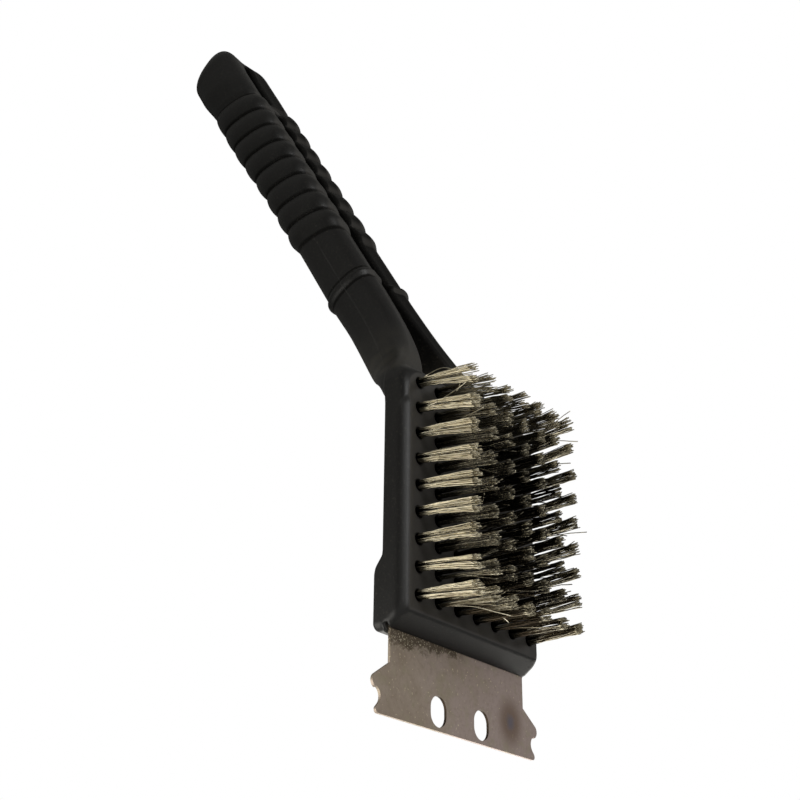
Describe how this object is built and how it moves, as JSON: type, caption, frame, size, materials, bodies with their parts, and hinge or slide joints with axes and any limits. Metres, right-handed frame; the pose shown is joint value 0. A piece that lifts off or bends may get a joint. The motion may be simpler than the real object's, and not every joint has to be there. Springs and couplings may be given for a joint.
{
  "type": "grill cleaning brush",
  "caption": "Grill cleaning brush with a bent two-rail resin handle, a flat head with a grid of steel wire tufts and a notched steel scraper blade.",
  "frame": {"origin": "centre of the flat bristle face of the head, midway along and across the grid of tufts", "axes": "+X along the head towards the scraper, +Z the way the bristles point, +Y across the head; the handle leaves towards -X and slopes away from the bristles"},
  "size_m": [0.2965, 0.075, 0.1499],
  "materials": {
    "moulded_resin": "satin black moulded resin with a fine pebbled surface",
    "blade_steel": "dull stamped stainless sheet with brown staining and a heat-tinted spot",
    "bristle_wire": "bright crimped steel wire",
    "plated_steel": "zinc-plated steel"
  },
  "bodies": {
    "root": {"body": "moulded_resin", "scraper_blade": "blade_steel", "scraper_screws": "plated_steel", "tuft_row_1": "bristle_wire", "tuft_row_2": "bristle_wire", "tuft_row_3": "bristle_wire", "tuft_row_4": "bristle_wire", "tuft_row_5": "bristle_wire", "tuft_row_6": "bristle_wire", "tuft_row_7": "bristle_wire", "tuft_row_8": "bristle_wire", "tuft_row_9": "bristle_wire", "anchor_row_1": "plated_steel", "anchor_row_2": "plated_steel", "anchor_row_3": "plated_steel", "anchor_row_4": "plated_steel", "anchor_row_5": "plated_steel", "anchor_row_6": "plated_steel", "anchor_row_7": "plated_steel", "anchor_row_8": "plated_steel", "anchor_row_9": "plated_steel"}
  },
  "joints": []
}
